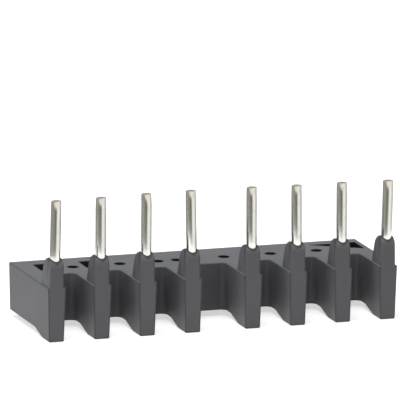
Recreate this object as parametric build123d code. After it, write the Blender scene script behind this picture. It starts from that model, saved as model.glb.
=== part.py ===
from build123d import *
import os
from math import atan2, degrees, radians, tan

# Power distribution block: a moulded comb that links the main terminals of two
# four-pole contactors standing side by side. Each pole is one bent wire that lies
# hidden in the housing and stands out of it as two pins, one for each contactor.
# Frame: X along the row of pins, the pins stand along +Z, the teeth point to -Y.
# The feet of the teeth stand on Z = 0, and X = 0, Y = 0 is the middle of the plan.

# Conductors
wire_d = 2.26            # solid copper wire of 4 mm2
wire_bend_r = 2.4        # radius of every bend, on the centreline
pin_tip_z = 31.15        # sheared end of the pins
pin_tip_edge = 0.15      # edge broken at the sheared end
tin_coat = 0.02          # thickness of the tin on the free ends
tin_depth = 0.1          # how far the full coat reaches down into the sleeve
tin_taper = 0.8          # length over which the coat then thins out
pole_count = 4
pole_pitch = 10.4        # from pole to pole of one contactor
contactor_pitch = 45.0   # from a pole of the left contactor to the same pole of the right

# Housing
ledge_z = 11.9           # top face of the box and of the teeth
box_bottom_z = 1.25      # underside of the box
tooth_length = 12.7      # how far the teeth stand out from the box
tooth_width = 4.0        # at the top face
mould_draft = 1.5        # degrees, on every upright wall but the fronts of the teeth
root_fillet = 1.0        # between a tooth and the box, in plan
edge_round = 0.25        # round of the outer top edges
foot_round = 0.3         # round of the lower edges of the teeth
foot_flat = 4.8          # length of the flat foot, from the front
foot_slope = 4.7         # length over which the underside climbs to the box
foot_blend_r = 2.5       # round at both ends of that slope

# Sleeves round the pins
sleeve_top_z = 18.25
sleeve_width = 3.3       # at the top face of the housing
sleeve_length = 6.1      # front to back, at the top face
sleeve_lean = 13.5       # degrees that the back of the sleeve leans forward
sleeve_draft = 1.5       # degrees on each flank
sleeve_nose_r = 1.9      # round from the front face to the top
sleeve_back_r = 3.2      # round from the top to the back
sleeve_side_r = 0.4      # round along both flanks
sleeve_root = 0.5        # how deep the sleeve is rooted in its tooth
pin_wall = 0.5           # wall in front of the pin

# Wire channels
wire_gap = 0.07          # clearance round the wire
leg_z = 4.1              # centreline of the legs that run back through the teeth
run_z = 9.4              # centreline of the long runs
front_wall = 0.8         # box wall in front of the first row
row_wall = 0.7           # wall between one row and the next
back_wall = 0.8          # box wall behind the last row
skew_start = 0.6         # how far past its third pin the last run turns forward
skew_end = 0.6           # how far behind the first row its right end stands

# Openings of the top face
peep_d = 2.4             # round holes over the second row
peep_depth = 2.0
# Each hole: its pin, counted from 0, and how far to the right of that pin it stands.
peeps = [(1, -0.6), (2, -0.2), (3, -1.8), (3, 2.5), (4, -0.4), (5, 0.0), (6, 0.3)]
window_width = 5.1       # windows between pins 1 and 2, and between pins 2 and 3
window_shift = 0.5       # how far both stand left of the middle between their pins
window_lip = 0.3         # how far both reach forward over the wall of the first row
corner_wall = 0.5        # between the skewed run and the three-cornered window
corner_back = 3.1        # from that window to the back of the block
corner_side = 1.3        # from that window to the right end of the block

# Base cover
cover_top_z = 2.8
cover_recess = 0.2       # how far the cover lies inside the underside
cover_gap = 0.08         # clearance all round
saddle_length = 1.8      # along the run that it carries
saddle_cheek = 0.6       # how far the saddle reaches up beside the wire
saddle_pins = [2, 3, 4, 5]  # for poles 1 to 4: the pin, counted from 0, that it stands past

beyond = 1.0             # how far a cut runs past the face that it opens

# Worked out from the values above
wire_r = wire_d / 2
channel_r = wire_r + wire_gap
channel_w = 2 * channel_r
row_pitch = channel_w + row_wall
box_depth = front_wall + (pole_count - 1) * row_pitch + channel_w + back_wall
block_depth = tooth_length + box_depth
y_front = -block_depth / 2
y_back = block_depth / 2
y_box = y_front + tooth_length
y_pin = y_front + pin_wall + channel_r
tin_end_z = sleeve_top_z - tin_depth - tin_taper
first_x = -(contactor_pitch + (pole_count - 1) * pole_pitch) / 2
left_x = [first_x + k * pole_pitch for k in range(pole_count)]
pin_x = left_x + [x + contactor_pitch for x in left_x]
block_length = pin_x[-1] - pin_x[0] + tooth_width

# Rows of runs, from the front: pole 1, pole 3, pole 4, pole 2. The legs of pole 2
# pass under every other run, so it is laid in last and has the row at the back.
row_a = y_box + front_wall + channel_r
row_b = row_a + row_pitch
row_c = row_b + row_pitch
row_d = row_c + row_pitch

# Each pole's run in plan, from its left riser to its right riser. The run of pole 4
# turns forward behind pin 7, which leaves room for the three-cornered window.
turn = (pin_x[6] + skew_start, row_c)
skew = (pin_x[7], row_a + skew_end)
runs = [
    [(pin_x[0], row_a), (pin_x[4], row_a)],
    [(pin_x[1], row_d), (pin_x[5], row_d)],
    [(pin_x[2], row_b), (pin_x[6], row_b)],
    [(pin_x[3], row_c), turn, skew],
]


def between_pins(k):
    """The place along X that is midway between pin k and the next, counted from 0."""
    return (pin_x[k] + pin_x[k + 1]) / 2


def prism(plan, low_z, high_z):
    """An outline in plan, drawn up from low_z to high_z."""
    return extrude(Pos(0, 0, low_z) * plan, amount=high_z - low_z)


def side_prism(outline, x_mid, width):
    """A closed outline in side view, Y across and Z up, given a width along X."""
    profile = make_face(outline)
    return extrude(Plane.YZ.offset(x_mid) * profile, amount=width / 2, both=True)


def closed(line):
    """The edges of an open outline, with a straight edge that closes it."""
    return [*line.edges(), Line(line @ 1, line @ 0)]


def under_side(rise=0.0):
    """The space under the block: level at the feet, then a soft slope up to the box."""
    heel_y = y_front + foot_flat
    box_z = box_bottom_z + rise
    floor_z = -2 * beyond
    line = FilletPolyline(
        (y_front - beyond, floor_z),
        (y_front - beyond, rise),
        (heel_y, rise),
        (heel_y + foot_slope, box_z),
        (y_back + beyond, box_z),
        (y_back + beyond, floor_z),
        radius=[0, foot_blend_r, foot_blend_r, 0],
    )
    return side_prism(closed(line), 0, block_length + 2 * beyond)


def comb_body():
    """The box and its eight teeth, with mould draft, rounded roots and rounded feet."""
    plan = Pos(0, (y_box + y_back) / 2) * Rectangle(block_length, y_back - y_box)
    for x in pin_x:
        plan += Pos(x, y_box - tooth_length / 2) * Rectangle(tooth_width, tooth_length)
    roots = plan.vertices().filter_by(lambda v: abs(v.Y - y_box) < edge_round)
    body = prism(fillet(roots, root_fillet), -beyond, ledge_z)
    walls = body.faces().filter_by(lambda f: abs(f.normal_at().Z) < edge_round)
    walls = walls.filter_by(lambda f: f.center().Y > y_front + edge_round)
    body = draft(walls, Plane.XY.offset(ledge_z), -mould_draft)
    body -= under_side()
    soles = body.faces().filter_by(lambda f: abs(f.center().Z) < edge_round)
    sides = [e for f in soles for e in f.edges() if abs((e % 0.5).Y) > abs((e % 0.5).X)]
    body = fillet(sides, foot_round)
    top = body.faces().sort_by(Axis.Z)[-1]
    return fillet(top.edges(), edge_round)


def sleeve():
    """The nosed sleeve that stands on a tooth and holds its pin upright, at X = 0."""
    lean = tan(radians(sleeve_lean))
    heel_y = y_front + sleeve_length
    root_z = ledge_z - sleeve_root
    line = FilletPolyline(
        (y_front, root_z),
        (y_front, sleeve_top_z),
        (heel_y - (sleeve_top_z - ledge_z) * lean, sleeve_top_z),
        (heel_y + sleeve_root * lean, root_z),
        radius=[sleeve_nose_r, sleeve_back_r],
    )
    body = side_prism(closed(line), 0, sleeve_width)
    flanks = body.faces().filter_by(Axis.X)
    body = draft(flanks, Plane.XY.offset(ledge_z), sleeve_draft)
    flanks = body.faces().filter_by(lambda f: abs(f.normal_at().X) > abs(f.normal_at().Y))
    rims = [e for f in flanks for e in f.edges() if e.center().Z > root_z + edge_round]
    rims = [e for e in rims if e.center().Y > y_front + edge_round]
    return fillet(rims, sleeve_side_r)


def leg_slot(x, row_y):
    """Room for one leg, open below, with corners that follow the bends of the wire."""
    roof_z = leg_z + channel_r
    bend_z = leg_z + wire_bend_r + wire_gap
    inner_r = wire_bend_r - channel_r
    line = FilletPolyline(
        (y_pin - channel_r, -beyond),
        (y_pin - channel_r, bend_z),
        (y_pin + channel_r, bend_z),
        (y_pin + channel_r, roof_z),
        (row_y - channel_r, roof_z),
        (row_y - channel_r, bend_z),
        (row_y, bend_z),
        (row_y, -beyond),
        radius=[0, 0, inner_r, inner_r, 0, 0],
    )
    return side_prism(closed(line), x, channel_w)


def run_channel(route):
    """Room for one run: a round-ended channel along its route, open below."""
    plan = Sketch()
    for (x1, y1), (x2, y2) in zip(route, route[1:]):
        length = (Vector(x2, y2) - Vector(x1, y1)).length
        turn_angle = degrees(atan2(y2 - y1, x2 - x1))
        place = Pos((x1 + x2) / 2, (y1 + y2) / 2) * Rot(0, 0, turn_angle)
        plan += place * SlotCenterToCenter(length, channel_w)
    return prism(plan, -beyond, run_z + channel_r)


def cover_plan(gap):
    """Outline of the base cover: a plate under the box and a finger under each tooth."""
    half_length = pin_x[-1] + channel_r - gap
    plate_front = row_a - channel_r + gap
    plate_back = row_d + channel_r - gap
    finger_front = y_pin - channel_r + gap
    plate_mid = (plate_front + plate_back) / 2
    plan = Pos(0, plate_mid) * Rectangle(2 * half_length, plate_back - plate_front)
    for x in pin_x:
        finger = Rectangle(channel_w - 2 * gap, plate_mid - finger_front)
        plan += Pos(x, (plate_mid + finger_front) / 2) * finger
    return plan


def windows():
    """The openings of the top face: two square windows and the three-cornered one."""
    front, back = row_b - channel_r - window_lip, row_c + channel_r
    for k in (0, 1):
        pane = Rectangle(window_width, back - front)
        yield Pos(between_pins(k) - window_shift, (front + back) / 2) * pane
    run_dir = (Vector(*skew) - Vector(*turn)).normalized()
    corner = Vector(*skew) + run_dir.rotate(Axis.Z, 90) * (channel_r + corner_wall)
    slope = run_dir.Y / run_dir.X
    right, rear = block_length / 2 - corner_side, y_back - corner_back
    tip_x = corner.X + (rear - corner.Y) / slope
    low_y = corner.Y + (right - corner.X) * slope
    yield Polygon((tip_x, rear), (right, low_y), (right, rear), align=None)


def peep_places():
    """Where the round holes stand: over the second row, near pins 2 to 7."""
    return [(pin_x[k] + side, row_b) for k, side in peeps]


def housing():
    """The comb with its sleeves, cored from below for the wires and the cover."""
    tower = sleeve()
    body = comb_body() + [Pos(x, 0, 0) * tower for x in pin_x]
    cuts = [prism(Pos(x, y_pin) * Circle(channel_r), leg_z, sleeve_top_z + beyond) for x in pin_x]
    for route in runs:
        cuts.append(run_channel(route))
        cuts += [leg_slot(x, row_y) for x, row_y in (route[0], route[-1])]
    cuts.append(prism(cover_plan(0), -beyond, cover_top_z + cover_gap))
    cuts += [prism(pane, cover_top_z, ledge_z + beyond) for pane in windows()]
    peep = prism(Circle(peep_d / 2), ledge_z - peep_depth, ledge_z + beyond)
    cuts += [Pos(x, y, 0) * peep for x, y in peep_places()]
    return body - cuts


def saddle(x, row_y):
    """A post of the cover that carries a run in a round seat."""
    post = Rectangle(saddle_length, channel_w - 2 * cover_gap)
    body = prism(Pos(x, row_y) * post, cover_top_z - cover_recess, run_z - wire_r + saddle_cheek)
    return body - Pos(x, row_y, run_z) * Rot(0, 90, 0) * Cylinder(channel_r, 2 * saddle_length)


def base_cover():
    """The comb-shaped cover that closes the channels from below."""
    body = prism(cover_plan(cover_gap), -beyond, cover_top_z)
    body -= under_side(cover_recess)
    for route, k in zip(runs, saddle_pins):
        body += saddle(between_pins(k), route[0][1])
    return body


def free_end():
    """The bare end of a pin: the tin thins out in the sleeve, and the tip is sheared."""
    tin_r = wire_r + tin_coat
    half = Polyline(
        (0, tin_end_z),
        (wire_r, tin_end_z),
        (tin_r, tin_end_z + tin_taper),
        (tin_r, pin_tip_z - pin_tip_edge),
        (tin_r - pin_tip_edge, pin_tip_z),
        (0, pin_tip_z),
        close=True,
    )
    return revolve(Plane.XZ * make_face(half), axis=Axis.Z)


def conductor(route):
    """One pole: pin, leg, riser, run, riser, leg and pin, bent from a single wire."""
    (x1, y1), (x2, y2) = route[0], route[-1]
    points = [(x1, y_pin, tin_end_z), (x1, y_pin, leg_z), (x1, y1, leg_z)]
    points += [(x, y, run_z) for x, y in route]
    points += [(x2, y2, leg_z), (x2, y_pin, leg_z), (x2, y_pin, tin_end_z)]
    path = FilletPolyline(*points, radius=wire_bend_r)
    start = Plane(origin=path @ 0, z_dir=path % 0)
    bent = sweep(start * Circle(wire_r), path=path)
    return bent + [Pos(x, y_pin, 0) * free_end() for x in (x1, x2)]


os.makedirs("parts", exist_ok=True)
export_step(housing(), "parts/housing.step")
export_step(base_cover(), "parts/base_cover.step")
for pole, route in enumerate(runs, start=1):
    export_step(conductor(route), f"parts/conductor_pole_{pole}.step")
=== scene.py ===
"""Looks of a power distribution block: a dark grey comb moulding with eight tinned pins.

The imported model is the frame: it gives every place and size, in metres. This script dresses
the moulding and its base cover, draws the four bent wires at a finer grain than the solids
need, and sets up the floor, the lights and the camera. The pins stand along +Z, the row of
pins runs along +X, and the teeth of the comb point to -Y.
"""
import logging
import math
from dataclasses import dataclass, field
from enum import Enum
from typing import ClassVar

import bpy
import numpy as np
from mathutils import Matrix, Vector


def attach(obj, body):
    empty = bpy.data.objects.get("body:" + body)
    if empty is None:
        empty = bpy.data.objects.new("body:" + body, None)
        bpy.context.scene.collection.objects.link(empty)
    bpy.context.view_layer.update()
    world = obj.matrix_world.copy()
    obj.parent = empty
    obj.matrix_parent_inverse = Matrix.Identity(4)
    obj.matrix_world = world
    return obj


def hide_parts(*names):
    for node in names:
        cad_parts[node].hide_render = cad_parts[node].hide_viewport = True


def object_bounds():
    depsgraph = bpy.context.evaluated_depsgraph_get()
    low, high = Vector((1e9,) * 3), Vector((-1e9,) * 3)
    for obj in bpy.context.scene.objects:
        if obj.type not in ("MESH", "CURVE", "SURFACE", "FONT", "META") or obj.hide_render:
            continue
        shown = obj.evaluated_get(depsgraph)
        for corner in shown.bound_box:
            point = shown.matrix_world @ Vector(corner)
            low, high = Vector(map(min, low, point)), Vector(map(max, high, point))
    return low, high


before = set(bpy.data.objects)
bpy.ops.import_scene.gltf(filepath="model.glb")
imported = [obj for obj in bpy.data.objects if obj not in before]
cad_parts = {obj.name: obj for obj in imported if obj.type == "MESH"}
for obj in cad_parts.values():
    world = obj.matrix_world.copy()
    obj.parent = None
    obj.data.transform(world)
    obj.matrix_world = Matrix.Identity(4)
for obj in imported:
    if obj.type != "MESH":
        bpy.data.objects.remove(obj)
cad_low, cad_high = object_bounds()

log = logging.getLogger("power_distribution_block")

MM = 0.001
BODY = "root"
# The camera stands this many degrees to the left of straight in front of the block.
CAMERA_AZIMUTH = 20.089


class Slot(Enum):
    """The record's material slots."""

    HOUSING = "housing_plastic"
    COVER = "cover_plastic"
    WIRE = "tinned_copper"


class ShaderInput(Enum):
    """The inputs of the Principled shader that more than one finish sets."""

    COLOUR = "Base Color"
    ROUGHNESS = "Roughness"
    NORMAL = "Normal"


def linear(hex_colour: str) -> tuple[float, float, float, float]:
    """Turns an sRGB hex colour into linear light.

    Each channel c, from 0 to 1, becomes c / 12.92 below 0.04045, and ((c + 0.055) / 1.055)
    to the power 2.4 above it.

    Args:
        hex_colour: a colour written as "#RRGGBB".

    Returns:
        Red, green, blue and alpha, with an alpha of 1.
    """
    channels = np.array([int(hex_colour[i : i + 2], 16) for i in (1, 3, 5)]) / 255
    low, high = channels / 12.92, ((channels + 0.055) / 1.055) ** 2.4
    red, green, blue = np.where(channels <= 0.04045, low, high)
    return float(red), float(green), float(blue), 1.0


def add_node(
    tree: bpy.types.NodeTree,
    kind: str,
    settings: dict[str, object] | None = None,
    inputs: dict[str | int, object] | None = None,
) -> bpy.types.Node:
    """Adds one node with its settings, and with its inputs linked or set.

    Args:
        tree: the node tree that it goes into.
        kind: the node's type, such as "ShaderNodeBump".
        settings: properties of the node itself.
        inputs: for each input, by name or place, an output socket to link or a value to set.

    Returns:
        The new node.
    """
    node = tree.nodes.new(kind)
    for name, value in (settings or {}).items():
        setattr(node, name, value)
    for name, value in (inputs or {}).items():
        if isinstance(value, bpy.types.NodeSocket):
            tree.links.new(value, node.inputs[name])
        else:
            node.inputs[name].default_value = value
    return node


def new_material(name: str) -> tuple[bpy.types.Material, bpy.types.NodeTree]:
    """Makes an empty node material.

    Args:
        name: the material's name.

    Returns:
        The material and its node tree, with no nodes in it.
    """
    material = bpy.data.materials.new(name)
    material.use_nodes = True
    material.node_tree.nodes.clear()
    return material, material.node_tree


def per_metre(size_mm: float) -> float:
    """The scale of a noise texture whose cells are size_mm across, read in metres."""
    return 1 / (size_mm * MM)


@dataclass(frozen=True)
class MouldedPolyamide:
    """Glass-filled polyamide, injection moulded against a spark-eroded steel mould.

    To the eye it is a dry dark grey with a soft sheen. The eroded mould leaves a fine
    pebbled grain, the melt leaves faint broad clouds, and glass fibres that lie at the skin
    show as pale specks. Painted shade darkens a thin line along every outer edge, and makes
    the openings of the top face nearly black inside.
    """

    name: str
    colour: str
    cloud_colour: str
    speck_colour: str
    ior: float = 1.53
    # The roughness runs between these two with the clouds.
    roughness: tuple[float, float] = (0.51, 0.62)
    # The mould's grain is about 0.1 mm. It is drawn three times as coarse, so that it shows.
    grain_mm: float = 0.32
    grain_depth_mm: float = 0.012
    grain_strength: float = 0.5
    cloud_mm: float = 9.0
    cloud_range: tuple[float, float] = (0.35, 0.7)
    sheen_range: tuple[float, float] = (0.3, 0.7)
    speck_mm: float = 0.45
    speck_range: tuple[float, float] = (0.62, 0.76)
    speck_share: float = 0.16
    # The box in which the channels, the windows and the round holes lie, and its soft edge. Inside
    # it the colour is painted shade.
    # Painted shade: the near black that stands in for the shadow deep in the openings.
    inside: str = "#1A1A1C"
    inside_low_mm: tuple[float, float, float] = (-39.5, 0.25, 2.0)
    inside_high_mm: tuple[float, float, float] = (39.5, 12.45, 11.89)
    inside_edge_mm: float = 0.05
    # Rays look for an outer edge this deep in the plastic, and it darkens over this range.
    # The edge colour is painted shade, laid along every outer edge.
    edge: str = "#1C1C1E"
    edge_mm: float = 0.45
    edge_range: tuple[float, float] = (0.95, 0.6)
    edge_shade_share: float = 0.62

    def painted_edge_shade(self, tree: bpy.types.NodeTree) -> bpy.types.NodeSocket:
        """The share of the edge's painted shade, which grows where an outer edge is near.

        Rays go from the face into the plastic, for edge_mm. Near an edge some of them leave
        it through the next face, from none of them to about half of them at the edge itself.

        Args:
            tree: the material's node tree.

        Returns:
            A socket that runs from nought on a plain face to edge_shade_share at an edge.
        """
        inward = add_node(
            tree, "ShaderNodeAmbientOcclusion", {"inside": True, "only_local": True, "samples": 8},
            {"Distance": self.edge_mm * MM},
        )
        return add_node(tree, "ShaderNodeMapRange", inputs={
            "Value": inward.outputs["AO"],
            "From Min": self.edge_range[0], "From Max": self.edge_range[1],
            "To Max": self.edge_shade_share,
        }).outputs["Result"]

    def depth(self, tree: bpy.types.NodeTree, place: bpy.types.NodeSocket) -> bpy.types.NodeSocket:
        """The mask of the painted shade: one inside the box of the openings, and nought outside it.

        How far a point lies outside is the largest of |p - middle| - half over the three
        axes, and the share runs from nought at 0 to one at minus the soft edge.

        Args:
            tree: the material's node tree.
            place: the Object coordinates.

        Returns:
            The socket that holds the share.
        """
        low, high = np.array(self.inside_low_mm) * MM, np.array(self.inside_high_mm) * MM
        off = add_node(tree, "ShaderNodeVectorMath", {"operation": "SUBTRACT"}, {
            0: place, 1: tuple((low + high) / 2),
        })
        away = add_node(tree, "ShaderNodeVectorMath", {"operation": "ABSOLUTE"}, {
            0: off.outputs["Vector"],
        })
        beyond = add_node(tree, "ShaderNodeVectorMath", {"operation": "SUBTRACT"}, {
            0: away.outputs["Vector"], 1: tuple((high - low) / 2),
        })
        axes = add_node(tree, "ShaderNodeSeparateXYZ", inputs={"Vector": beyond.outputs["Vector"]})
        level = add_node(tree, "ShaderNodeMath", {"operation": "MAXIMUM"}, {
            0: axes.outputs["X"], 1: axes.outputs["Y"],
        })
        largest = add_node(tree, "ShaderNodeMath", {"operation": "MAXIMUM"}, {
            0: level.outputs["Value"], 1: axes.outputs["Z"],
        })
        return add_node(tree, "ShaderNodeMapRange", inputs={
            "Value": largest.outputs["Value"], "From Min": 0.0,
            "From Max": -self.inside_edge_mm * MM,
        }).outputs["Result"]

    def build(self) -> bpy.types.Material:
        """Makes the material, with every pattern on Object coordinates.

        Returns:
            The material.
        """
        material, tree = new_material(self.name)
        place = add_node(tree, "ShaderNodeTexCoord").outputs["Object"]
        clouds = add_node(tree, "ShaderNodeTexNoise", inputs={
            "Vector": place, "Scale": per_metre(self.cloud_mm), "Detail": 4.0, "Roughness": 0.6,
        })
        cloudy = add_node(tree, "ShaderNodeMapRange", inputs={
            "Value": clouds.outputs["Fac"],
            "From Min": self.cloud_range[0], "From Max": self.cloud_range[1],
        })
        base = add_node(tree, "ShaderNodeMix", {"data_type": "RGBA"}, {
            "Factor": cloudy.outputs["Result"],
            "A": linear(self.colour), "B": linear(self.cloud_colour),
        })
        fibres = add_node(tree, "ShaderNodeTexNoise", inputs={
            "Vector": place, "Scale": per_metre(self.speck_mm), "Detail": 2.0, "Roughness": 0.5,
        })
        specks = add_node(tree, "ShaderNodeMapRange", inputs={
            "Value": fibres.outputs["Fac"],
            "From Min": self.speck_range[0], "From Max": self.speck_range[1],
            "To Max": self.speck_share,
        })
        colour = add_node(tree, "ShaderNodeMix", {"data_type": "RGBA"}, {
            "Factor": specks.outputs["Result"],
            "A": base.outputs["Result"], "B": linear(self.speck_colour),
        })
        # Painted shade: a darker line along every outer edge.
        edge_shaded = add_node(tree, "ShaderNodeMix", {"data_type": "RGBA"}, {
            "Factor": self.painted_edge_shade(tree), "A": colour.outputs["Result"], "B": linear(self.edge),
        })
        # Painted shade: nearly black inside the openings, where the shadow falls.
        shaded = add_node(tree, "ShaderNodeMix", {"data_type": "RGBA"}, {
            "Factor": self.depth(tree, place),
            "A": edge_shaded.outputs["Result"], "B": linear(self.inside),
        })
        grain = add_node(tree, "ShaderNodeTexVoronoi", {"feature": "SMOOTH_F1"}, {
            "Vector": place, "Scale": per_metre(self.grain_mm), "Smoothness": 0.7,
        })
        relief = add_node(tree, "ShaderNodeBump", inputs={
            "Strength": self.grain_strength, "Distance": self.grain_depth_mm * MM,
            "Height": grain.outputs["Distance"],
        })
        sheen = add_node(tree, "ShaderNodeMapRange", inputs={
            "Value": clouds.outputs["Fac"],
            "From Min": self.sheen_range[0], "From Max": self.sheen_range[1],
            "To Min": self.roughness[0], "To Max": self.roughness[1],
        })
        skin = add_node(tree, "ShaderNodeBsdfPrincipled", inputs={
            ShaderInput.COLOUR.value: shaded.outputs["Result"],
            ShaderInput.ROUGHNESS.value: sheen.outputs["Result"],
            ShaderInput.NORMAL.value: relief.outputs["Normal"],
            "IOR": self.ior,
        })
        add_node(tree, "ShaderNodeOutputMaterial", inputs={"Surface": skin.outputs["BSDF"]})
        return material


@dataclass(frozen=True)
class DrawnTinnedCopper:
    """Copper wire drawn through a die, tinned, bent and sheared to length.

    To the eye it is a bright, faintly warm metal. The die leaves fine lines along the wire,
    the tin has dull patches where it has been handled, and the sheared ends show copper
    under a smear of tin.
    """

    name: str = "drawn_tinned_copper"
    tin: str = "#E9E8E4"
    dull_tin: str = "#D4D2CB"
    copper: str = "#E2CDB9"
    copper_share: float = 0.8
    # The roughness runs between these two with the patches.
    roughness: tuple[float, float] = (0.09, 0.14)
    # Die lines are about 0.03 mm apart. They are drawn as 0.2 mm, so that they show.
    line_mm: float = 0.2
    line_depth_mm: float = 0.003
    line_strength: float = 0.6
    line_stretch: float = 45.0
    patch_mm: float = 1.6
    patch_range: tuple[float, float] = (0.5, 0.75)
    patch_share: float = 0.6
    rough_range: tuple[float, float] = (0.35, 0.75)

    def build(self) -> bpy.types.Material:
        """Makes the material, with its lines on the wire's own drawn_mm attribute.

        Returns:
            The material.
        """
        material, tree = new_material(self.name)
        drawn = add_node(tree, "ShaderNodeAttribute", {"attribute_name": BentWire.DRAWN})
        cut = add_node(tree, "ShaderNodeAttribute", {"attribute_name": BentWire.CUT})
        along = add_node(tree, "ShaderNodeMapping", inputs={
            "Vector": drawn.outputs["Vector"], "Scale": (1, 1, 1 / self.line_stretch),
        })
        lines = add_node(tree, "ShaderNodeTexNoise", inputs={
            "Vector": along.outputs["Vector"], "Scale": 1 / self.line_mm, "Detail": 3.0,
        })
        patches = add_node(tree, "ShaderNodeTexNoise", inputs={
            "Vector": drawn.outputs["Vector"], "Scale": 1 / self.patch_mm, "Detail": 4.0,
            "Roughness": 0.65,
        })
        dull = add_node(tree, "ShaderNodeMapRange", inputs={
            "Value": patches.outputs["Fac"],
            "From Min": self.patch_range[0], "From Max": self.patch_range[1],
            "To Max": self.patch_share,
        })
        skin = add_node(tree, "ShaderNodeMix", {"data_type": "RGBA"}, {
            "Factor": dull.outputs["Result"], "A": linear(self.tin), "B": linear(self.dull_tin),
        })
        smear = add_node(tree, "ShaderNodeMath", {"operation": "MULTIPLY"}, {
            0: cut.outputs["Fac"], 1: self.copper_share,
        })
        colour = add_node(tree, "ShaderNodeMix", {"data_type": "RGBA"}, {
            "Factor": smear.outputs["Value"],
            "A": skin.outputs["Result"], "B": linear(self.copper),
        })
        rough = add_node(tree, "ShaderNodeMapRange", inputs={
            "Value": patches.outputs["Fac"],
            "From Min": self.rough_range[0], "From Max": self.rough_range[1],
            "To Min": self.roughness[0], "To Max": self.roughness[1],
        })
        relief = add_node(tree, "ShaderNodeBump", inputs={
            "Strength": self.line_strength, "Distance": self.line_depth_mm * MM,
            "Height": lines.outputs["Fac"],
        })
        metal = add_node(tree, "ShaderNodeBsdfPrincipled", inputs={
            ShaderInput.COLOUR.value: colour.outputs["Result"],
            ShaderInput.ROUGHNESS.value: rough.outputs["Result"],
            ShaderInput.NORMAL.value: relief.outputs["Normal"],
            "Metallic": 1.0,
        })
        add_node(tree, "ShaderNodeOutputMaterial", inputs={"Surface": metal.outputs["BSDF"]})
        return material


FINISHES: dict[Slot, MouldedPolyamide | DrawnTinnedCopper] = {
    Slot.HOUSING: MouldedPolyamide(
        "moulded_polyamide_textured", "#65666A", "#6D6E71", "#8C8C8C",
    ),
    Slot.COVER: MouldedPolyamide(
        "moulded_polyamide_plain", "#5E5F63", "#646569", "#7C7C7C", grain_depth_mm=0.006,
    ),
    Slot.WIRE: DrawnTinnedCopper(),
}


@dataclass
class Moulding:
    """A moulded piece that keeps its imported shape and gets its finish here."""

    node: str
    finish: Slot

    def dress(self) -> None:
        """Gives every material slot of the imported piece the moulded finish."""
        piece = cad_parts[self.node]
        material = FINISHES[self.finish].build()
        for slot in piece.material_slots:
            slot.material = material
        log.info("%s: dressed in %s", self.node, material.name)


@dataclass
class Pin:
    """How one free end of a wire differs from a true upright cylinder.

    It is short by that many millimetres, leans to +X by that slope, and bends by tip_bend
    millimetres at its tip. The blade came from shear_turn, in radians from +X.
    """

    short: float
    lean: float
    tip_bend: float
    shear_turn: float


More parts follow.
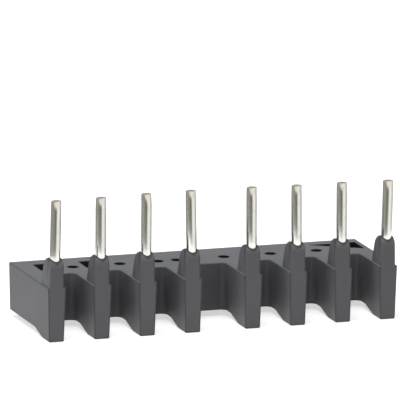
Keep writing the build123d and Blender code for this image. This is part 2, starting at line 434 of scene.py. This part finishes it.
@dataclass
class BentWire:
    """One pole: a wire bent to a pin, a leg, a riser, a run, a riser, a leg and a pin.

    Sizes are in millimetres, and the side that the jaw pressed is in radians from +X.
    """

    pole: int
    plan: list[tuple[float, float]]
    pins: tuple[Pin, Pin]
    pin_y: float
    wire_r: float = 1.13
    tin_r: float = 1.15
    bend_r: float = 2.4
    leg_z: float = 4.1
    run_z: float = 9.4
    mouth_z: float = 18.15
    taper: float = 0.8
    tip_z: float = 31.15
    bent_share: float = 0.25
    roll_edge: float = 0.2
    burr_edge: float = 0.06
    jaw_turn: float = -1.48
    jaw_depth: float = 0.36
    jaw_reach: float = 3.0
    break_step: float = 0.05
    break_place: float = 0.1
    core_share: float = 0.04
    around: int = 56
    arc_rings: int = 10
    pin_rings: int = 40
    cap_rings: int = 9

    DRAWN: ClassVar[str] = "drawn_mm"
    CUT: ClassVar[str] = "cut_end"
    # So far apart on the pattern that no two wires show the same patches.
    PATTERN_STEP: ClassVar[float] = 20.0

    @property
    def node(self) -> str:
        """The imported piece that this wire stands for."""
        return f"conductor_pole_{self.pole}"

    def corners(self) -> np.ndarray:
        """The sharp corners of the route, from just below one tip to just below the other.

        Returns:
            An array of corners, by X, Y and Z, in millimetres.
        """
        (x1, y1), (x2, y2) = self.plan[0], self.plan[-1]
        top_1, top_2 = (self.tip_z - pin.short - self.roll_edge for pin in self.pins)
        route = [(x1, self.pin_y, top_1), (x1, self.pin_y, self.leg_z), (x1, y1, self.leg_z)]
        route += [(x, y, self.run_z) for x, y in self.plan]
        route += [(x2, y2, self.leg_z), (x2, self.pin_y, self.leg_z), (x2, self.pin_y, top_2)]
        return np.array(route)

    def centreline(self) -> tuple[np.ndarray, np.ndarray, np.ndarray]:
        """Rounds the route's corners and carries a square frame along it.

        The rings of a pin stand closer towards its tip, at the square of an even share. At a
        corner the line leaves its run at bend_r times the tangent of half the turn, and
        follows an arc of radius bend_r. A frame vector w turns with the arc by Rodrigues'
        formula: w cos(a) + (k x w) sin(a) + k (k . w)(1 - cos(a)), where k is the axis of
        the bend and a the angle turned so far. Between bends the frame stays as it is.

        Returns:
            The centre, the first side vector and the second side vector of each ring.
        """
        points = self.corners()
        steps = np.diff(points, axis=0)
        heads = steps / np.linalg.norm(steps, axis=1, keepdims=True)
        side = np.array([1.0, 0.0, 0.0])
        other = np.cross(heads[0], side)
        first_bend = points[1] - heads[0] * self.bend_r
        straight = np.linspace(0, 1, self.pin_rings)[:, None] ** 2
        centres = [points[0] + straight * (first_bend - points[0])]
        sides = [np.tile(side, (self.pin_rings, 1))]
        others = [np.tile(other, (self.pin_rings, 1))]
        for corner, head, next_head in zip(points[1:-1], heads, heads[1:]):
            axis = np.cross(head, next_head)
            turn = math.asin(min(1.0, float(np.linalg.norm(axis))))
            axis = axis / np.linalg.norm(axis)
            start = corner - head * self.bend_r * math.tan(turn / 2)
            inward = np.cross(axis, head)
            angle = np.linspace(0, turn, self.arc_rings)[:, None]
            centres.append(
                start + self.bend_r * (head * np.sin(angle) + inward * (1 - np.cos(angle)))
            )
            turned = [
                w * np.cos(angle) + np.cross(axis, w) * np.sin(angle)
                + axis * (axis @ w) * (1 - np.cos(angle))
                for w in (side, other)
            ]
            sides.append(turned[0])
            others.append(turned[1])
            side, other = turned[0][-1], turned[1][-1]
        last_bend = centres[-1][-1]
        centres.append(points[-1] + straight[-2::-1] * (last_bend - points[-1]))
        sides.append(np.tile(side, (self.pin_rings - 1, 1)))
        others.append(np.tile(other, (self.pin_rings - 1, 1)))
        return np.concatenate(centres), np.concatenate(sides), np.concatenate(others)

    def out_of_true(self, centres: np.ndarray) -> np.ndarray:
        """Sideways shift of each ring, which is nought inside the housing.

        Above the mouth of the sleeve a pin leans by lean times the height. The last
        bent_share of it also bends, by tip_bend times the square of the share of that
        stretch that the ring has risen.

        Args:
            centres: the centre of each ring.

        Returns:
            The shift along X of each ring.
        """
        height = np.clip(centres[:, 2] - self.mouth_z, 0, None)
        free = self.tip_z - self.mouth_z
        top = np.clip(1 - (1 - height / free) / self.bent_share, 0, 1) ** 2
        first_half = np.arange(len(centres)) < len(centres) / 2
        lean = np.where(first_half, self.pins[0].lean, self.pins[1].lean)
        bend = np.where(first_half, self.pins[0].tip_bend, self.pins[1].tip_bend)
        return lean * height + bend * top

    def radius(self, centres: np.ndarray) -> np.ndarray:
        """Radius of each ring: the tin on a pin thins out evenly inside the sleeve's mouth."""
        share = np.clip((centres[:, 2] - self.mouth_z) / self.taper + 1, 0, 1)
        return self.wire_r + (self.tin_r - self.wire_r) * share

    def flattened(self, spokes: np.ndarray, centres: np.ndarray) -> np.ndarray:
        """How far the jaw of the cutter has pressed each point in, beside the sheared end.

        It is jaw_depth times the square of the share of the last jaw_reach that the ring has
        risen, times the cosine of the angle from the jaw, where that is above nought.

        Args:
            spokes: the unit vector from the middle of each ring to each of its points.
            centres: the centre of each ring, still upright on the pin's axis.

        Returns:
            The depth at each point of each ring.
        """
        half = len(centres) // 2
        ends = np.where(np.arange(len(centres)) < half, centres[0, 2], centres[-1, 2])
        share = np.clip((centres[:, 2] - ends) / self.jaw_reach + 1, 0, 1)
        jaw = np.array([math.cos(self.jaw_turn), math.sin(self.jaw_turn), 0.0])
        return self.jaw_depth * share[:, None] ** 2 * np.clip(spokes @ jaw, 0, None)

    def tip(self, ring: np.ndarray, centre: np.ndarray, pin: Pin) -> np.ndarray:
        """The sheared end of a pin, from the rim to its middle.

        The blade pulls the rim in on one side and leaves a lip on the other: the edge's
        radius e runs from roll_edge to burr_edge as (1 + cos) / 2 of the angle from the
        blade's side. The first half of the rings follow a quarter circle of that radius,
        and the rest close the face, down to core_share of it. The face sinks towards its
        middle by break_step, and by twice that beyond break_place on the side away from the
        blade, where the shear turned into a break.

        Args:
            ring: the last full ring of the pin, at the height where the rolled edge starts.
            centre: the middle of that ring.
            pin: the free end that it belongs to.

        Returns:
            The rings of the cap, each with as many points as the ring.
        """
        spoke = ring - centre
        reach = np.linalg.norm(spoke, axis=1, keepdims=True)
        spoke = spoke / reach
        blade = np.array([math.cos(pin.shear_turn), math.sin(pin.shear_turn), 0.0])
        facing = (spoke @ blade)[:, None]
        edge = self.burr_edge + (self.roll_edge - self.burr_edge) * (1 + facing) / 2
        quarter = np.linspace(0, math.pi / 2, self.cap_rings)[:, None, None]
        rolled = reach - edge * (1 - np.cos(quarter))
        shoulder = centre + spoke * rolled
        shoulder[:, :, 2:] += self.roll_edge - edge * (1 - np.sin(quarter))
        inner = np.linspace(1, self.core_share, self.cap_rings)[1:, None, None]
        face = centre + spoke * (reach - edge) * inner
        across = (face - centre) @ blade
        step = self.break_step / (1 + np.exp((across - self.break_place) / self.break_step))
        near = inner[:, :, 0]
        face[:, :, 2] += self.roll_edge - (self.break_step + step) * (1 - near)
        return np.concatenate([shoulder, face])

    def build(self, material: bpy.types.Material) -> bpy.types.Object:
        """Makes the wire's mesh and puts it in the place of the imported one.

        Each ring is centre + r (side cos(t) + other sin(t)), with t evenly round the wire.
        The caps of both tips are added, and the rings are joined by quads. The attribute
        drawn_mm holds each point's place in the straight wire, before it was bent, and
        cut_end is one on the sheared faces.

        Args:
            material: the finish of the wire.

        Returns:
            The new piece.
        """
        centres, sides, others = self.centreline()
        t = np.linspace(0, 2 * math.pi, self.around, endpoint=False)
        spokes = sides[:, None] * np.cos(t)[:, None] + others[:, None] * np.sin(t)[:, None]
        reach = self.radius(centres)[:, None] - self.flattened(spokes, centres)
        centres[:, 0] += self.out_of_true(centres)
        rings = centres[:, None] + reach[:, :, None] * spokes
        caps = [self.tip(rings[i], centres[i], self.pins[k]) for k, i in ((0, 0), (1, -1))]
        length = np.concatenate([[0], np.cumsum(np.linalg.norm(np.diff(centres, axis=0), axis=1))])
        count = len(caps[0])
        rings = np.concatenate([caps[0][::-1], rings, caps[1]])
        length = np.concatenate([np.zeros(count), length, np.full(count, length[-1])])
        local = np.stack([np.cos(t), np.sin(t)], axis=1) * self.wire_r
        drawn = np.empty(rings.shape)
        drawn[:, :, :2] = local + self.PATTERN_STEP * self.pole
        drawn[:, :, 2] = length[:, None]
        cut = np.zeros(len(rings))
        # The sheared face is the whole of a cap but its rolled edge.
        cut[: self.cap_rings - 1] = cut[1 - self.cap_rings :] = 1
        mesh = closed_tube(self.node.replace("conductor", "wire"), rings * MM)
        store(mesh, self.DRAWN, np.concatenate([drawn.reshape(-1, 3), drawn[[0, -1], 0]]))
        store(mesh, self.CUT, np.concatenate([np.repeat(cut, self.around), [1, 1]]))
        mesh.materials.append(material)
        piece = bpy.data.objects.new(mesh.name, mesh)
        bpy.context.scene.collection.objects.link(piece)
        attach(piece, BODY)
        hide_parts(self.node)
        log.info("%s: %d faces, stands for %s", piece.name, len(mesh.polygons), self.node)
        return piece


def closed_tube(name: str, rings: np.ndarray) -> bpy.types.Mesh:
    """A mesh from rings of points, closed by a fan of triangles at each end.

    Point j of ring i is joined to point j + 1 and to ring i + 1, counted round the ring.

    Args:
        name: the mesh's name.
        rings: an array of rings, by points, by X, Y and Z, in metres.

    Returns:
        The mesh, shaded smooth, with its faces pointing outwards.
    """
    count, around = rings.shape[:2]
    ends = rings[[0, -1]].mean(axis=1)
    points = np.concatenate([rings.reshape(-1, 3), ends])
    place = np.arange(count * around).reshape(count, around)
    turned = np.roll(place, -1, axis=1)
    quads = np.stack([place[:-1], turned[:-1], turned[1:], place[1:]], axis=-1).reshape(-1, 4)
    first = np.stack([turned[0], place[0], np.full(around, count * around)], axis=-1)
    last = np.stack([place[-1], turned[-1], np.full(around, count * around + 1)], axis=-1)
    mesh = bpy.data.meshes.new(name)
    mesh.from_pydata(points.tolist(), [], quads.tolist() + first.tolist() + last.tolist())
    mesh.shade_smooth()
    mesh.update()
    return mesh


def store(mesh: bpy.types.Mesh, name: str, values: np.ndarray) -> None:
    """Keeps a number or a vector for each point of a mesh, under a name.

    Args:
        mesh: the mesh.
        name: the attribute's name.
        values: one number or one vector for each point.
    """
    vector = values.ndim == 2
    kind, key = ("FLOAT_VECTOR", "vector") if vector else ("FLOAT", "value")
    attribute = mesh.attributes.new(name, kind, "POINT")
    attribute.data.foreach_set(key, values.astype(np.float32).ravel())


def looked_at(tree: bpy.types.NodeTree) -> bpy.types.NodeSocket:
    """One for a ray that the eye, a metal or a glass sends out, and nought for the rest.

    Args:
        tree: the node tree that asks.

    Returns:
        The socket that holds it.
    """
    ray = add_node(tree, "ShaderNodeLightPath").outputs
    mirror = add_node(tree, "ShaderNodeMath", {"operation": "MAXIMUM"}, {
        0: ray["Is Glossy Ray"], 1: ray["Is Transmission Ray"],
    })
    return add_node(tree, "ShaderNodeMath", {"operation": "MAXIMUM"}, {
        0: ray["Is Camera Ray"], 1: mirror.outputs["Value"],
    }).outputs["Value"]


@dataclass(frozen=True)
class WhiteTable:
    """Matt white table, which shows as pure white and keeps the object's shadow.

    The metal mirrors the table where it is nearer than near_mm, and past that the room. So
    the foot of each pin is white, and its upper part shows the room's darker sides.
    """

    name: str = "matt_white_table"
    bounce: str = "#808080"
    seen: str = "#D8D8D8"
    glow: float = 0.6
    roughness: float = 0.9
    near_mm: tuple[float, float] = (77.5, 83.5)

    def build(self) -> bpy.types.Material:
        """Makes the material: the eye sees a whiter table than the object is lit by.

        Returns:
            The material.
        """
        material, tree = new_material(self.name)
        seen = looked_at(tree)
        colour = add_node(tree, "ShaderNodeMix", {"data_type": "RGBA"}, {
            "Factor": seen, "A": linear(self.bounce), "B": linear(self.seen),
        })
        glow = add_node(tree, "ShaderNodeMath", {"operation": "MULTIPLY"}, {0: seen, 1: self.glow})
        top = add_node(tree, "ShaderNodeBsdfPrincipled", inputs={
            ShaderInput.COLOUR.value: colour.outputs["Result"],
            ShaderInput.ROUGHNESS.value: self.roughness,
            "Specular IOR Level": 0.0,
            "Emission Color": (1, 1, 1, 1), "Emission Strength": glow.outputs["Value"],
        })
        ray = add_node(tree, "ShaderNodeLightPath").outputs
        far = add_node(tree, "ShaderNodeMapRange", {"interpolation_type": "SMOOTHSTEP"}, {
            "Value": ray["Ray Length"],
            "From Min": self.near_mm[0] * MM, "From Max": self.near_mm[1] * MM,
        })
        open_to_room = add_node(tree, "ShaderNodeMath", {"operation": "MULTIPLY"}, {
            0: far.outputs["Result"], 1: ray["Is Glossy Ray"],
        })
        clear = add_node(tree, "ShaderNodeBsdfTransparent")
        surface = add_node(tree, "ShaderNodeMixShader", inputs={
            0: open_to_room.outputs["Value"], 1: top.outputs["BSDF"], 2: clear.outputs["BSDF"],
        })
        add_node(tree, "ShaderNodeOutputMaterial", inputs={"Surface": surface.outputs["Shader"]})
        return material


@dataclass(frozen=True)
class RoomSides:
    """What the metal mirrors: the sides of the room, by their angle round the block.

    Each band is an angle in degrees, counted to the right from the side of the room that
    the camera stands on, with the colour there. Above the horizon, the side that lies
    lit_turn degrees further to the right is lit and has the colour upper. It comes in with
    the height of the ray over the range horizon, and with the cosine of the angle from that
    side, up to lit_edge.
    """

    front_turn: float = CAMERA_AZIMUTH
    lit_turn: float = 30.0
    lit_edge: float = 0.5
    horizon: tuple[float, float] = (-0.04, 0.12)
    upper: str = "#FCF6EC"
    bands: tuple[tuple[float, str], ...] = (
        (-180, "#B4B4B4"), (-130, "#A0A09D"), (-60, "#989891"), (-35, "#939289"), (-16, "#7F7D70"),
        (4, "#787668"), (17, "#A6A59C"), (34, "#FCFCFA"), (70, "#FFFFFF"), (100, "#D6D6D4"),
        (150, "#B4B4B4"), (180, "#B4B4B4"),
    )

    def towards(self, turn: float) -> tuple[float, float, float]:
        """The level direction to the side that lies turn degrees to the right of the front."""
        angle = math.radians(self.front_turn - turn)
        return -math.sin(angle), -math.cos(angle), 0.0

    def build(self, tree: bpy.types.NodeTree) -> bpy.types.NodeSocket:
        """Makes the colour of the room in the direction of the ray.

        The ray's angle round the block is the arc tangent of its shares across and ahead.

        Args:
            tree: the world's node tree.

        Returns:
            The socket that holds the colour.
        """
        ray = add_node(tree, "ShaderNodeTexCoord").outputs["Generated"]
        across, ahead, lit = (
            add_node(tree, "ShaderNodeVectorMath", {"operation": "DOT_PRODUCT"}, {
                0: ray, 1: self.towards(turn),
            })
            for turn in (90.0, 0.0, self.lit_turn)
        )
        angle = add_node(tree, "ShaderNodeMath", {"operation": "ARCTAN2"}, {
            0: across.outputs["Value"], 1: ahead.outputs["Value"],
        })
        share = add_node(tree, "ShaderNodeMapRange", inputs={
            "Value": angle.outputs["Value"], "From Min": -math.pi, "From Max": math.pi,
        })
        sides = add_node(tree, "ShaderNodeValToRGB", inputs={"Fac": share.outputs["Result"]})
        stops = sides.color_ramp.elements
        # A new ramp has two stops. The bands bring their own last one.
        stops.remove(stops[-1])
        for degrees, colour in self.bands[1:]:
            stops.new((degrees + 180) / 360).color = linear(colour)
        stops[0].color = linear(self.bands[0][1])
        height = add_node(tree, "ShaderNodeSeparateXYZ", inputs={"Vector": ray}).outputs["Z"]
        above = add_node(tree, "ShaderNodeMapRange", {"interpolation_type": "SMOOTHSTEP"}, {
            "Value": height, "From Min": self.horizon[0], "From Max": self.horizon[1],
        })
        facing = add_node(tree, "ShaderNodeMapRange", inputs={
            "Value": lit.outputs["Value"], "From Max": self.lit_edge,
            "To Max": above.outputs["Result"],
        })
        room = add_node(tree, "ShaderNodeMix", {"data_type": "RGBA"}, {
            "Factor": facing.outputs["Result"], "A": sides.outputs["Color"], "B": linear(self.upper),
        })
        return room.outputs["Result"]


@dataclass
class SoftBox:
    """A square lamp that stands off the object in one direction, in metres.

    The metal mirrors the sides of the room in its place.
    """

    name: str
    place: tuple[float, float, float]
    size: float
    power: float

    def hang(self, at: Vector) -> None:
        """Adds the lamp and turns it to the object.

        Args:
            at: the point that it faces.
        """
        lamp = bpy.data.lights.new(self.name, "AREA")
        lamp.shape = "SQUARE"
        lamp.size, lamp.energy = self.size, self.power
        piece = bpy.data.objects.new(self.name, lamp)
        piece.visible_glossy = False
        piece.location = self.place
        piece.rotation_euler = (at - piece.location).to_track_quat("-Z", "Y").to_euler()
        bpy.context.scene.collection.objects.link(piece)
        log.info("%s: %.2f W", self.name, self.power)


@dataclass
class Camera:
    """The photograph's camera, worked out from the corners, the feet and the pins.

    Angles are in degrees, and the distance and the clip range in metres.
    """

    azimuth: float = CAMERA_AZIMUTH
    elevation: float = 13.16
    roll: float = 0.984
    distance: float = 2.584
    target_mm: tuple[float, float, float] = (0.0, 0.0, 12.0)
    target_pixel: tuple[float, float] = (203.17, 263.07)
    image_size: int = 400
    pixels_per_mm: float = 4.606
    sensor_mm: float = 36.0
    clip: tuple[float, float] = (0.05, 50.0)

    def axes(self) -> tuple[Vector, Vector, Vector]:
        """Right, up and forward of the camera, from its three angles.

        Returns:
            The three directions, each of length one.
        """
        az, el, roll = (math.radians(a) for a in (self.azimuth, self.elevation, self.roll))
        forward = Vector((
            math.sin(az) * math.cos(el), math.cos(az) * math.cos(el), -math.sin(el),
        ))
        right = Vector((math.cos(az), -math.sin(az), 0.0))
        up = right.cross(forward)
        turned = right * math.cos(roll) + up * math.sin(roll)
        return turned, turned.cross(forward), forward

    def place(self) -> None:
        """Adds the camera where the target falls on its pixel, and makes it the scene's."""
        right, up, forward = self.axes()
        middle = self.image_size / 2
        off_x = (self.target_pixel[0] - middle) / self.pixels_per_mm * MM
        off_y = (self.target_pixel[1] - middle) / self.pixels_per_mm * MM
        aim = Vector(self.target_mm) * MM - right * off_x + up * off_y
        data = bpy.data.cameras.new("camera")
        data.sensor_width = self.sensor_mm
        focal_pixels = self.pixels_per_mm / MM * self.distance
        data.lens = focal_pixels * self.sensor_mm / self.image_size
        data.clip_start, data.clip_end = self.clip
        piece = bpy.data.objects.new("camera", data)
        turn = Matrix((right, up, -forward)).transposed().to_4x4()
        piece.matrix_world = Matrix.Translation(aim - forward * self.distance) @ turn
        bpy.context.scene.collection.objects.link(piece)
        bpy.context.scene.camera = piece
        log.info("camera: %.0f mm lens at %.2f m", data.lens, self.distance)


@dataclass
class Studio:
    """White table, soft lamps, and a room that is white to the eye but not to the metal.

    The table's half width is in metres, and the room's light is its share of full white.
    """

    table_half: float = 8.0
    room_light: float = 0.25
    lamps: list[SoftBox] = field(default_factory=lambda: [
        SoftBox("lamp_above", (-0.10, 0.05, 0.78), 0.6, 5.2),
        SoftBox("lamp_left", (-0.66, -0.42, 0.26), 0.5, 2.6),
    ])

    def floor(self) -> None:
        """Lays the table under the feet of the block."""
        far = self.table_half
        mesh = bpy.data.meshes.new("table")
        corners = [(-far, -far, 0), (far, -far, 0), (far, far, 0), (-far, far, 0)]
        mesh.from_pydata(corners, [], [(0, 1, 2, 3)])
        mesh.materials.append(WhiteTable().build())
        piece = bpy.data.objects.new("table", mesh)
        bpy.context.scene.collection.objects.link(piece)

    def room(self) -> None:
        """Lights the object evenly, shows white to the eye, and its sides to the metal."""
        world = bpy.data.worlds.new("room")
        world.use_nodes = True
        tree = world.node_tree
        tree.nodes.clear()
        strength = add_node(tree, "ShaderNodeMapRange", inputs={
            "Value": looked_at(tree), "To Min": self.room_light, "To Max": 1.0,
        })
        ray = add_node(tree, "ShaderNodeLightPath").outputs
        colour = add_node(tree, "ShaderNodeMix", {"data_type": "RGBA"}, {
            "Factor": ray["Is Glossy Ray"],
            "A": (1.0, 1.0, 1.0, 1.0), "B": RoomSides().build(tree),
        })
        light = add_node(tree, "ShaderNodeBackground", inputs={
            "Color": colour.outputs["Result"], "Strength": strength.outputs["Result"],
        })
        add_node(tree, "ShaderNodeOutputWorld", inputs={"Surface": light.outputs["Background"]})
        bpy.context.scene.world = world

    def build(self) -> None:
        """Sets up the table, the room and the lamps."""
        self.floor()
        self.room()
        middle = (cad_low + cad_high) / 2
        for lamp in self.lamps:
            lamp.hang(middle)
        bpy.context.scene.view_settings.view_transform = "Standard"


@dataclass
class DistributionBlock:
    """The whole part: the moulding, the base cover and the four wires, in millimetres."""

    pole_pitch: float = 10.4
    contactor_pitch: float = 45.0
    pin_y: float = -11.3
    row_y: tuple[float, ...] = (1.7, 11.0, 4.8, 7.9)
    skew_turn: float = 0.6
    skew_y: float = 2.3
    pins: list[Pin] = field(default_factory=lambda: [
        Pin(0.34, 0.0100, 0.05, 2.6), Pin(0.25, -0.0095, 0.12, 2.9),
        Pin(0.07, -0.0060, -0.05, 3.6), Pin(0.00, -0.0290, 0.04, 3.4),
        Pin(0.15, -0.0147, 0.08, 3.2), Pin(0.38, -0.0185, 0.10, 2.8),
        Pin(0.43, -0.0125, 0.05, 3.0), Pin(0.63, 0.0165, -0.06, 3.3),
    ])

    def wires(self) -> list[BentWire]:
        """The four wires, with the plan of each one's run and its two free ends.

        A run is straight along its row. The last wire's run turns off skew_turn beyond the
        pin before its right one, and goes slantwise to skew_y, near the front row.

        Returns:
            The wires, from pole 1 on.
        """
        made = []
        last = len(self.row_y) - 1
        first_x = -(self.contactor_pitch + last * self.pole_pitch) / 2
        for k, y in enumerate(self.row_y):
            left = first_x + k * self.pole_pitch
            right = left + self.contactor_pitch
            plan = [(left, y), (right, y)]
            if k == last:
                turn_x = right - self.pole_pitch + self.skew_turn
                plan = [(left, y), (turn_x, y), (right, self.skew_y)]
            ends = (self.pins[k], self.pins[k + len(self.row_y)])
            made.append(BentWire(k + 1, plan, ends, self.pin_y))
        return made

    def build(self) -> None:
        """Dresses the mouldings and makes the wires."""
        Moulding("housing", Slot.HOUSING).dress()
        Moulding("base_cover", Slot.COVER).dress()
        metal = FINISHES[Slot.WIRE].build()
        for wire in self.wires():
            wire.build(metal)


def main() -> None:
    """Builds the part and the studio in order, and logs each step."""
    logging.basicConfig(level=logging.INFO, format="%(name)s: %(message)s")
    Camera().place()
    DistributionBlock().build()
    Studio().build()


if __name__ == "__main__":
    main()
